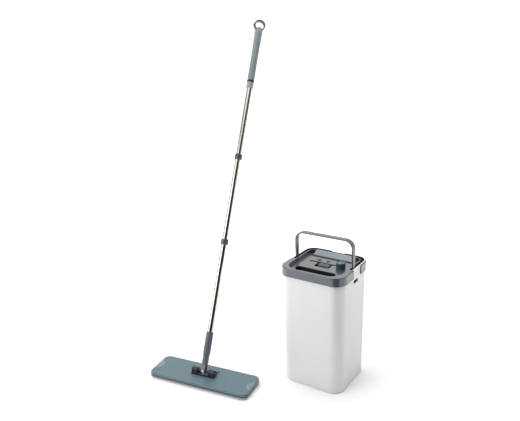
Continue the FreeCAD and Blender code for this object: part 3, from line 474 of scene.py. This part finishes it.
def soften(node: bpy.types.Object, width: float, sharp: float = 50.0) -> None:
    """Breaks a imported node's sharp edges with live modifiers.

    Args:
        node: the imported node, whose mesh stays as it is.
        width: the broken edge's width.
        sharp: the angle in degrees past which an edge is broken.
    """
    weld = node.modifiers.new("weld", "WELD")
    weld.merge_threshold = MERGE_GAP
    edges = node.modifiers.new("edges", "BEVEL")
    edges.width = width
    edges.segments = 2
    edges.limit_method = "ANGLE"
    edges.angle_limit = math.radians(sharp)
    edges.use_clamp_overlap = True


def edit_all(piece: bpy.types.Object, *steps: Callable[[], object]) -> None:
    """Runs edit-mode steps on a piece with all of it selected.

    Args:
        piece: the object.
        *steps: the calls, in order; everything is selected again before each.
    """
    pick(piece)
    bpy.ops.object.mode_set(mode="EDIT")
    for step in steps:
        bpy.ops.mesh.select_all(action="SELECT")
        step()
    bpy.ops.object.mode_set(mode="OBJECT")


def span(node: bpy.types.Object, place: Matrix) -> tuple[Vector, Vector]:
    """A node's lowest and highest corners in a turned frame.

    Args:
        node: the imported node.
        place: the matrix from that frame to the set's.

    Returns:
        The two corners in the turned frame.
    """
    back = place.inverted()
    spots = [back @ vertex.co for vertex in node.data.vertices]
    return (Vector(min(spot[axis] for spot in spots) for axis in range(3)),
            Vector(max(spot[axis] for spot in spots) for axis in range(3)))


def smooth(piece: bpy.types.Object, angle: float = 35.0) -> None:
    """Smooth shading up to an angle in degrees."""
    pick(piece)
    bpy.ops.object.shade_smooth_by_angle(angle=math.radians(angle))


def dress(piece: bpy.types.Object, material: bpy.types.Material) -> None:
    """Gives a piece one material."""
    piece.data.materials.clear()
    piece.data.materials.append(material)


@dataclass
class Assembly:
    """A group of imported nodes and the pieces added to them.

    Args:
        finishes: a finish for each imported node.
        place: from the group's own upright frame to the set's.
    """

    frame: dict
    finishes: dict[str, Finish] = field(default_factory=dict)
    place: Matrix = field(default_factory=Matrix)

    def dress_nodes(self) -> None:
        """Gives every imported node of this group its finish; equal finishes share a material."""
        made: dict[Finish, bpy.types.Material] = {}
        for node, finish in self.finishes.items():
            if finish not in made:
                made[finish] = finish.material()
            dress(self.frame["nodes"][node], made[finish])
            LOG.info("dressed %s in %s", node, finish.name)

    def keep(self, piece: bpy.types.Object, finish: Finish, body: str, slot: str) -> None:
        """Dresses a new piece and hands it to a body.

        Args:
            piece: the new object, already in its place.
            finish: its finish.
            body: the body that it rides on.
            slot: the record's material slot; not used.
        """
        dress(piece, finish.material())
        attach(piece, body)
        LOG.info("built %s on %s", piece.name, body)

    def joint(self, name: str) -> dict:
        """The record's joint of that name."""
        return next(item for item in self.frame["joints"] if item["name"] == name)


# ------------------------------------------------------------------ palette

INSERT_GREY = Moulding("insert_grey", (0.056, 0.068, 0.079), 0.32, coat=0.95)
PANEL_GREY = Moulding("panel_grey", (0.190, 0.232, 0.260), 0.40, coat=0.30)
CHANNEL_NAVY = Moulding("channel_navy", (0.010, 0.012, 0.020), 0.5)
BAIL_GREY = Moulding("bail_grey", (0.066, 0.084, 0.098), 0.30, coat=0.45)
KNOB_TEAL = Moulding("knob_teal", (0.075, 0.115, 0.135), 0.38)
INNER_WHITE = Moulding("inner_white", (0.62, 0.62, 0.63), 0.5)
PLATE_GREY = Moulding("plate_grey", (0.078, 0.140, 0.166), 0.42, coat=0.35, grain=0.0011,
                      grain_depth=0.00006)
BASE_NAVY = Moulding("base_navy", (0.022, 0.034, 0.048), 0.5)
BRACKET_NAVY = Moulding("bracket_navy", (0.006, 0.010, 0.020), 0.45)
NECK_GREY = Moulding("neck_grey", (0.115, 0.117, 0.120), 0.26, coat=0.5)
SLEEVE_GREY = Moulding("sleeve_grey", (0.092, 0.110, 0.130), 0.38)
COLLAR_TEAL = Moulding("collar_teal", (0.050, 0.076, 0.092), 0.32, coat=0.2)
FERRULE_GREY = Moulding("ferrule_grey", (0.27, 0.275, 0.275), 0.26, coat=0.3)
CAP_GREY = Moulding("cap_grey", (0.215, 0.250, 0.262), 0.40)
LOOP_DARK = Moulding("loop_dark", (0.014, 0.018, 0.022), 0.42)
TRIM_LIGHT = Moulding("trim_light", (0.42, 0.50, 0.55), 0.35)
SEAL_BLACK = SoftRubber("seal_black", (0.020, 0.024, 0.028), 0.5)
BLOCK_STONE = SoftRubber("block_stone", (0.098, 0.092, 0.078))
BLADE_RUBBER = SoftRubber("blade_rubber", (0.018, 0.020, 0.024))
FLAP_GREY = SoftRubber("flap_grey", (0.175, 0.240, 0.285))
GRIP_GREY = SoftRubber("grip_grey", (0.180, 0.212, 0.222), 0.36)
PIN_STEEL = DrawnSteel("pin_steel", (0.55, 0.55, 0.54), 0.3)
SHELL_WHITE = WhiteShell("white_shell")
PAD_WHITE = Microfibre("pad_white")
BINDING_GREY = Microfibre("binding_grey", (0.52, 0.53, 0.54), 0.0009)


class End(Enum):
    """The two short ends of the mop plate."""

    LEFT = -1
    RIGHT = 1


@dataclass
class Bucket(Assembly):
    """The white shell, its divider, rear band and feet."""

    rim_break: float = 0.0011

    def build(self) -> None:
        """Dresses the bucket."""
        self.finishes = {"bucket_shell": SHELL_WHITE, "divider_wall": INNER_WHITE,
                         "rear_band": INSERT_GREY, "rubber_feet": BLADE_RUBBER}
        self.dress_nodes()
        soften(self.frame["nodes"]["bucket_shell"], self.rim_break)


@dataclass
class Insert(Assembly):
    """The lift-out insert with its wringer, knob, latches and bail."""

    dish_depth: float = 0.0008
    pointer_length: float = 0.010
    pointer_width: float = 0.0022
    pointer_rise: float = 0.0007
    pointer_round: float = 0.0003

    def build(self) -> None:
        """Dresses the insert."""
        self.finishes = {
            "insert_tray": INSERT_GREY, "rear_panel": PANEL_GREY, "bail_channel": CHANNEL_NAVY,
            "bail_pins": PIN_STEEL, "front_scrub_strip": BLADE_RUBBER, "rear_scrub_strip": BLADE_RUBBER,
            "left_bracket": INSERT_GREY, "right_bracket": INSERT_GREY, "bracket_screws": PIN_STEEL,
            "roller_axle": PIN_STEEL, "bail": BAIL_GREY, "knob": KNOB_TEAL, "knob_shaft": INSERT_GREY,
            "cam": INNER_WHITE, "scraper_bar": CHANNEL_NAVY, "press_block": BLOCK_STONE,
            "wiper_blade": BLADE_RUBBER, "roller_core": INNER_WHITE, "roller_sleeve": BLOCK_STONE,
            "left_latch": CHANNEL_NAVY, "right_latch": CHANNEL_NAVY}
        self.dress_nodes()
        self.add_pointer()

    def add_pointer(self) -> None:
        """A raised bar on the knob that shows how far it is turned."""
        low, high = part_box("knob")
        middle = (Vector(low) + Vector(high)) / 2
        spot = (middle.x, middle.y - self.pointer_length / 2,
                high[2] - self.dish_depth + self.pointer_rise / 2)
        bar = start("knob_pointer", bpy.ops.mesh.primitive_cube_add, size=1.0, location=spot,
                    scale=(self.pointer_width, self.pointer_length, self.pointer_rise))
        edit_all(bar, lambda: bpy.ops.mesh.bevel(offset=self.pointer_round, segments=2, affect="EDGES"))
        settle(bar)
        smooth(bar)
        self.keep(bar, TRIM_LIGHT, "knob", "knob_teal")


@dataclass
class MopHead(Assembly):
    """The plate, its pad, the hinge bracket and the universal joint."""

    voxel: float = 0.0028
    shrink: float = 0.0011
    swell: float = 0.0009
    pressure: float = 4.0
    steps: int = 20
    pile_pitch: float = 0.0035
    pile_depth: float = 0.0012
    pile_level: float = 0.6
    pad_fill: float = 0.6
    floor_gap: float = 0.0002
    binding_radius: float = 0.0013
    binding_inset: float = 0.0002
    binding_corner: float = 0.020
    trim_radius: float = 0.0226
    trim_wire: float = 0.0006
    trim_beyond: float = 0.002
    trim_cut: float = 0.0025
    trim_sink: float = 0.0004
    trim_segments: int = 96
    trim_sides: int = 10

    def build(self) -> None:
        """Dresses the head."""
        self.finishes = {
            "mop_pad": PAD_WHITE, "base_plate": BASE_NAVY, "top_plate": PLATE_GREY, "end_flaps": FLAP_GREY,
            "hinge_bracket": BRACKET_NAVY, "head_screws": PIN_STEEL, "tilt_pins": PIN_STEEL,
            "joint_cross": BRACKET_NAVY}
        self.dress_nodes()
        hinge = self.joint("head_tilt")
        axis, spot = hinge["axis"], hinge["pos_m"]
        self.place = (Matrix.Translation((spot[0], spot[1], 0.0))
                      @ Matrix.Rotation(math.atan2(axis[1], axis[0]), 4, "Z"))
        self.add_pad()
        self.add_binding()
        for end in End:
            self.add_trim(end)

    def add_pad(self) -> None:
        """The swollen microfibre pad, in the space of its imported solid."""
        node = self.frame["nodes"]["mop_pad"]
        low, high = span(node, self.place)
        half, middle = (high - low) / 2, (high + low) / 2
        pad = bpy.data.objects.new("microfibre_pad", node.data.copy())
        bpy.context.collection.objects.link(pad)
        squeeze = Matrix.Diagonal([(side - self.shrink) / side for side in half] + [1.0])
        pad.data.transform(Matrix.Translation(middle) @ squeeze @ Matrix.Translation(-middle)
                           @ self.place.inverted())
        edit_all(pad, lambda: bpy.ops.mesh.remove_doubles(threshold=MERGE_GAP),
                 lambda: bpy.ops.mesh.normals_make_consistent(inside=False))
        apply_modifier(pad, "REMESH", mode="VOXEL", voxel_size=self.voxel)
        self.inflate(pad)
        apply_modifier(pad, "SUBSURF", levels=1, render_levels=1)
        pile = bpy.data.textures.new("pile", "CLOUDS")
        pile.noise_scale = self.pile_pitch
        apply_modifier(pad, "DISPLACE", texture=pile, strength=self.pile_depth, mid_level=self.pile_level,
                       texture_coords="LOCAL")
        for vertex in pad.data.vertices:
            for axis in range(3):
                gap = self.floor_gap if axis == 2 else 0.0
                vertex.co[axis] = min(high[axis] - gap, max(low[axis] + gap, vertex.co[axis]))
        settle(pad, self.place)
        smooth(pad, 80.0)
        self.keep(pad, PAD_WHITE, "mop_head", "pad_white")
        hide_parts("mop_pad")

    def inflate(self, pad: bpy.types.Object) -> None:
        """Swells the pad by a short cloth simulation and caps how far each point moves.

        Args:
            pad: the remeshed pad.
        """
        rest = [vertex.co.copy() for vertex in pad.data.vertices]
        modifier = pad.modifiers.new("Cloth", "CLOTH")
        modifier.settings.use_pressure = True
        modifier.settings.uniform_pressure_force = self.pressure
        modifier.settings.effector_weights.gravity = 0.0
        for step in range(1, self.steps + 1):
            bpy.context.scene.frame_set(step)
        pick(pad)
        bpy.ops.object.modifier_apply(modifier=modifier.name)
        bpy.context.scene.frame_set(1)
        for vertex, old in zip(pad.data.vertices, rest):
            move = vertex.co - old
            if move.length > self.swell:
                vertex.co = old + move.normalized() * self.swell

    def add_binding(self) -> None:
        """The sewn tape round the pad's edge."""
        low, high = span(self.frame["nodes"]["mop_pad"], self.place)
        inset = self.binding_radius + self.binding_inset
        tape = start("pad_binding", bpy.ops.mesh.primitive_plane_add, size=1.0,
                     location=(0, 0, high.z - inset),
                     scale=(high.x - low.x - 2 * inset, high.y - low.y - 2 * inset, 1.0))
        settle(tape)
        edit_all(tape, lambda: bpy.ops.mesh.bevel(offset=self.binding_corner, segments=10,
                                                  affect="VERTICES"),
                 lambda: bpy.ops.mesh.delete(type="ONLY_FACE"))
        bpy.ops.object.convert(target="CURVE")
        tape.data.bevel_depth = self.binding_radius
        tape.data.bevel_resolution = 3
        bpy.ops.object.convert(target="MESH")
        settle(tape, self.place)
        smooth(tape, 60.0)
        self.keep(tape, BINDING_GREY, "mop_head", "pad_white")

    def add_trim(self, end: End) -> None:
        """The light bead round one end's soft pad.

        Args:
            end: which end of the plate.
        """
        top = span(self.frame["nodes"]["end_flaps"], self.place)[1].z
        reach = span(self.frame["nodes"]["top_plate"], self.place)[1].x
        bead = start(f"end_bead_{end.name.lower()}", bpy.ops.mesh.primitive_torus_add,
                     major_radius=self.trim_radius, minor_radius=self.trim_wire,
                     major_segments=self.trim_segments, minor_segments=self.trim_sides,
                     location=(end.value * (reach + self.trim_beyond), 0, top + self.trim_sink))
        settle(bead)
        edit_all(bead, lambda: bpy.ops.mesh.bisect(plane_co=(end.value * (reach - self.trim_cut), 0, 0),
                                                   plane_no=(end.value, 0, 0), use_fill=True,
                                                   clear_outer=True))
        settle(bead, self.place)
        smooth(bead, 50.0)
        self.keep(bead, TRIM_LIGHT, "mop_head", "flap_grey")


@dataclass
class Pole(Assembly):
    """The jointed steel pole, its grip and its hanging loop."""

    seal_wire: float = 0.0007
    seal_stretch: float = 1.6
    seal_segments: int = 48
    seal_sides: int = 8

    def build(self) -> None:
        """Dresses the pole."""
        axis = Vector(self.joint("loop_turn")["axis"])
        upright = axis.rotation_difference(Vector((0, 0, 1))).to_euler()
        # The tube steel carries painted reflections: dark lengthwise bands in its colour.
        steel = DrawnSteel("steel_tube", (0.92, 0.88, 0.82), turn=tuple(upright),
                           centre=tuple(self.joint("loop_turn")["pos_m"]), painted_reflection_share=0.45)
        self.finishes = {
            "pole_fork": NECK_GREY, "fork_pins": PIN_STEEL, "pole_sleeve": SLEEVE_GREY,
            "lower_tube": steel, "middle_tube": steel, "upper_tube": steel,
            "lower_collar": COLLAR_TEAL, "upper_collar": COLLAR_TEAL, "lower_plug": INNER_WHITE,
            "upper_plug": INNER_WHITE, "ferrule": FERRULE_GREY, "grip_ring": CHANNEL_NAVY,
            "grip": GRIP_GREY, "grip_cap": CAP_GREY, "loop_socket": CAP_GREY, "snap_button": CHANNEL_NAVY,
            "hang_loop": LOOP_DARK}
        self.dress_nodes()
        across = Vector(self.joint("side_tilt")["axis"])
        turn = Matrix((across.cross(axis), across, axis)).transposed().to_4x4()
        self.place = Matrix.Translation(self.joint("side_tilt")["pos_m"]) @ turn
        for collar in ("lower_collar", "upper_collar"):
            self.add_seals(collar)

    def add_seals(self, collar: str) -> None:
        """A thin dark seal at both ends of a collar.

        Args:
            collar: the collar's node.
        """
        low, high = span(self.frame["nodes"][collar], self.place)
        tube = span(self.frame["nodes"]["lower_tube"], self.place)[1].x
        for side, height in (("foot", low.z - self.seal_wire), ("head", high.z + self.seal_wire)):
            seal = start(f"{collar}_{side}_seal", bpy.ops.mesh.primitive_torus_add,
                         major_radius=tube + self.seal_wire, minor_radius=self.seal_wire,
                         major_segments=self.seal_segments, minor_segments=self.seal_sides,
                         location=(0, 0, height))
            edit_all(seal, lambda: bpy.ops.transform.resize(value=(1.0, 1.0, self.seal_stretch),
                                                            center_override=(0.0, 0.0, height)))
            settle(seal, self.place)
            smooth(seal, 60.0)
            self.keep(seal, SEAL_BLACK, "pole", "blade_rubber")


# ------------------------------------------------------------------ studio

@dataclass(frozen=True)
class Softbox:
    """A square area light, placed from the bucket's foot along the camera's own directions."""

    name: str
    aside: float
    ahead: float
    height: float
    width: float
    power: float


@dataclass
class Studio:
    """White sweep, soft lights, dark flags and the camera.

    Args:
        bucket_foot: the middle of the bucket's foot, which the camera's place is measured from.
    """

    bucket_foot: Vector
    camera_ahead: float = 1.6375
    camera_aside: float = 0.1919
    camera_height: float = 1.056
    pan: float = math.radians(34.217)
    tilt: float = math.radians(17.025)
    roll: float = math.radians(1.72)
    lens: float = 40.0
    sensor: float = 36.0
    floor_side: float = 80.0
    floor_drop: float = 0.0005
    floor_white: float = 0.93
    floor_near: float = 0.45
    floor_far: float = 1.6
    floor_glow: float = 0.06
    flag_distance: float = 0.62
    flag_width: float = 0.55
    flag_height: float = 0.75
    flag_board: float = 0.01
    sky_rise: float = 0.35
    sky_edge: tuple = (-0.1, 0.7)
    sky_behind: float = 1.10
    sky_front: float = 0.04
    ceiling: Softbox = Softbox("ceiling", -0.3, 0.0, 3.0, 4.0, 74.0)
    key: Softbox = Softbox("key", -1.9, -0.8, 1.3, 1.4, 20.0)
    fill: Softbox = Softbox("fill", 1.8, -0.3, 0.8, 1.2, 2.5)
    aim_height: float = 0.2
    aim_share: float = 0.5

    def ahead(self, rise: float = 0.0) -> Vector:
        """The level direction away from the camera, or one that rises."""
        return Vector((-math.sin(self.pan), math.cos(self.pan), rise))

    def right(self) -> Vector:
        """The level direction to the camera's right."""
        return Vector((math.cos(self.pan), math.sin(self.pan), 0))

    def build(self) -> None:
        """Makes the whole studio."""
        self.add_camera()
        self.add_floor()
        self.add_flag()
        self.add_world()
        self.add_lights()
        bpy.context.scene.view_settings.view_transform = "Standard"

    def add_camera(self) -> None:
        """A plain camera in front of the bucket, a little to its right."""
        foot = Vector((self.bucket_foot.x, self.bucket_foot.y, 0))
        data = bpy.data.cameras.new("studio_camera")
        data.lens = self.lens
        data.sensor_width = self.sensor
        camera = bpy.data.objects.new("studio_camera", data)
        bpy.context.collection.objects.link(camera)
        look = Matrix.Rotation(self.pan, 4, "Z") @ Matrix.Rotation(math.pi / 2 - self.tilt, 4, "X")
        look = look @ Matrix.Rotation(-self.roll, 4, "Z")
        spot = foot - self.ahead() * self.camera_ahead - self.right() * self.camera_aside
        spot.z = self.camera_height
        camera.matrix_world = Matrix.Translation(spot) @ look
        bpy.context.scene.camera = camera

    def add_floor(self) -> None:
        """A large white floor that brightens to pure white away from the set."""
        floor = start("studio_floor", bpy.ops.mesh.primitive_plane_add, size=self.floor_side,
                      location=(0, 0, -self.floor_drop))
        graph = Graph("studio_white")
        spot = graph.place(centre=tuple(self.bucket_foot))
        length = graph.node("ShaderNodeVectorMath", {"operation": "LENGTH"}, {0: spot})
        away = Wire(graph, length.outputs["Value"]).step(self.floor_near, self.floor_far)
        graph.set(Base_Color=(self.floor_white,) * 3, Roughness=0.9, Specular_IOR_Level=0.0,
                  Emission_Color=graph.blend(away, (self.floor_glow,) * 3, (1.0, 1.0, 1.0)),
                  Emission_Strength=1.0)
        dress(floor, graph.material)

    def add_flag(self) -> None:
        """A black card on the camera's side, seen only in the set's reflections and bounce light."""
        spot = self.bucket_foot - self.ahead() * self.flag_distance
        spot.z += self.flag_height / 2
        flag = start("studio_flag", bpy.ops.mesh.primitive_cube_add, size=1.0, location=tuple(spot),
                     scale=(self.flag_width, self.flag_board, self.flag_height), rotation=(0, 0, self.pan))
        graph = Graph("studio_black")
        graph.set(Base_Color=(0.01, 0.01, 0.01), Roughness=1.0)
        dress(flag, graph.material)
        flag.visible_camera = False
        flag.visible_shadow = False

    def add_world(self) -> None:
        """A white surround that is bright behind the set and dim on the camera's side."""
        world = bpy.data.worlds.new("studio_world")
        bpy.context.scene.world = world
        world.use_nodes = True
        tree = Tree(world.node_tree)
        ahead = self.ahead(self.sky_rise).normalized()
        source = tree.node("ShaderNodeTexCoord")
        towards = tree.node("ShaderNodeVectorMath", {"operation": "DOT_PRODUCT"},
                            {0: Wire(tree, source.outputs["Generated"]), 1: tuple(ahead)})
        behind = Wire(tree, towards.outputs["Value"]).step(*self.sky_edge)
        seen = Wire(tree, tree.node("ShaderNodeLightPath").outputs["Is Camera Ray"])
        strength = tree.maths("MAXIMUM", seen, behind * (self.sky_behind - self.sky_front) + self.sky_front)
        background = tree.node("ShaderNodeBackground", {}, {"Color": (1.0, 1.0, 1.0), "Strength": strength})
        output = tree.node("ShaderNodeOutputWorld")
        tree.tree.links.new(background.outputs["Background"], output.inputs["Surface"])

    def add_lights(self) -> None:
        """A broad ceiling, a key from the left and a fill from the right, none behind the camera."""
        for box in (self.ceiling, self.key, self.fill):
            self.hang(box)

    def hang(self, box: Softbox) -> None:
        """Hangs one softbox and turns it to the middle of the set.

        Args:
            box: the light's name, place, width and power in watts.
        """
        data = bpy.data.lights.new(box.name, "AREA")
        data.size = box.width
        data.energy = box.power
        light = bpy.data.objects.new(box.name, data)
        bpy.context.collection.objects.link(light)
        light.location = (self.bucket_foot + self.right() * box.aside + self.ahead() * box.ahead
                          + Vector((0, 0, box.height)))
        light.visible_camera = False
        aim = Vector((0, 0, self.aim_height)) + self.bucket_foot * self.aim_share - light.location
        light.rotation_euler = aim.to_track_quat("-Z", "Y").to_euler()


def main() -> None:
    """Builds every group in order."""
    logging.basicConfig(level=logging.INFO, format="%(message)s")
    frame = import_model()
    low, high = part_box("rubber_feet")
    for kind in (Bucket, Insert, MopHead, Pole):
        kind(frame).build()
    Studio((low + high) / 2).build()


if __name__ == "__main__":
    main()
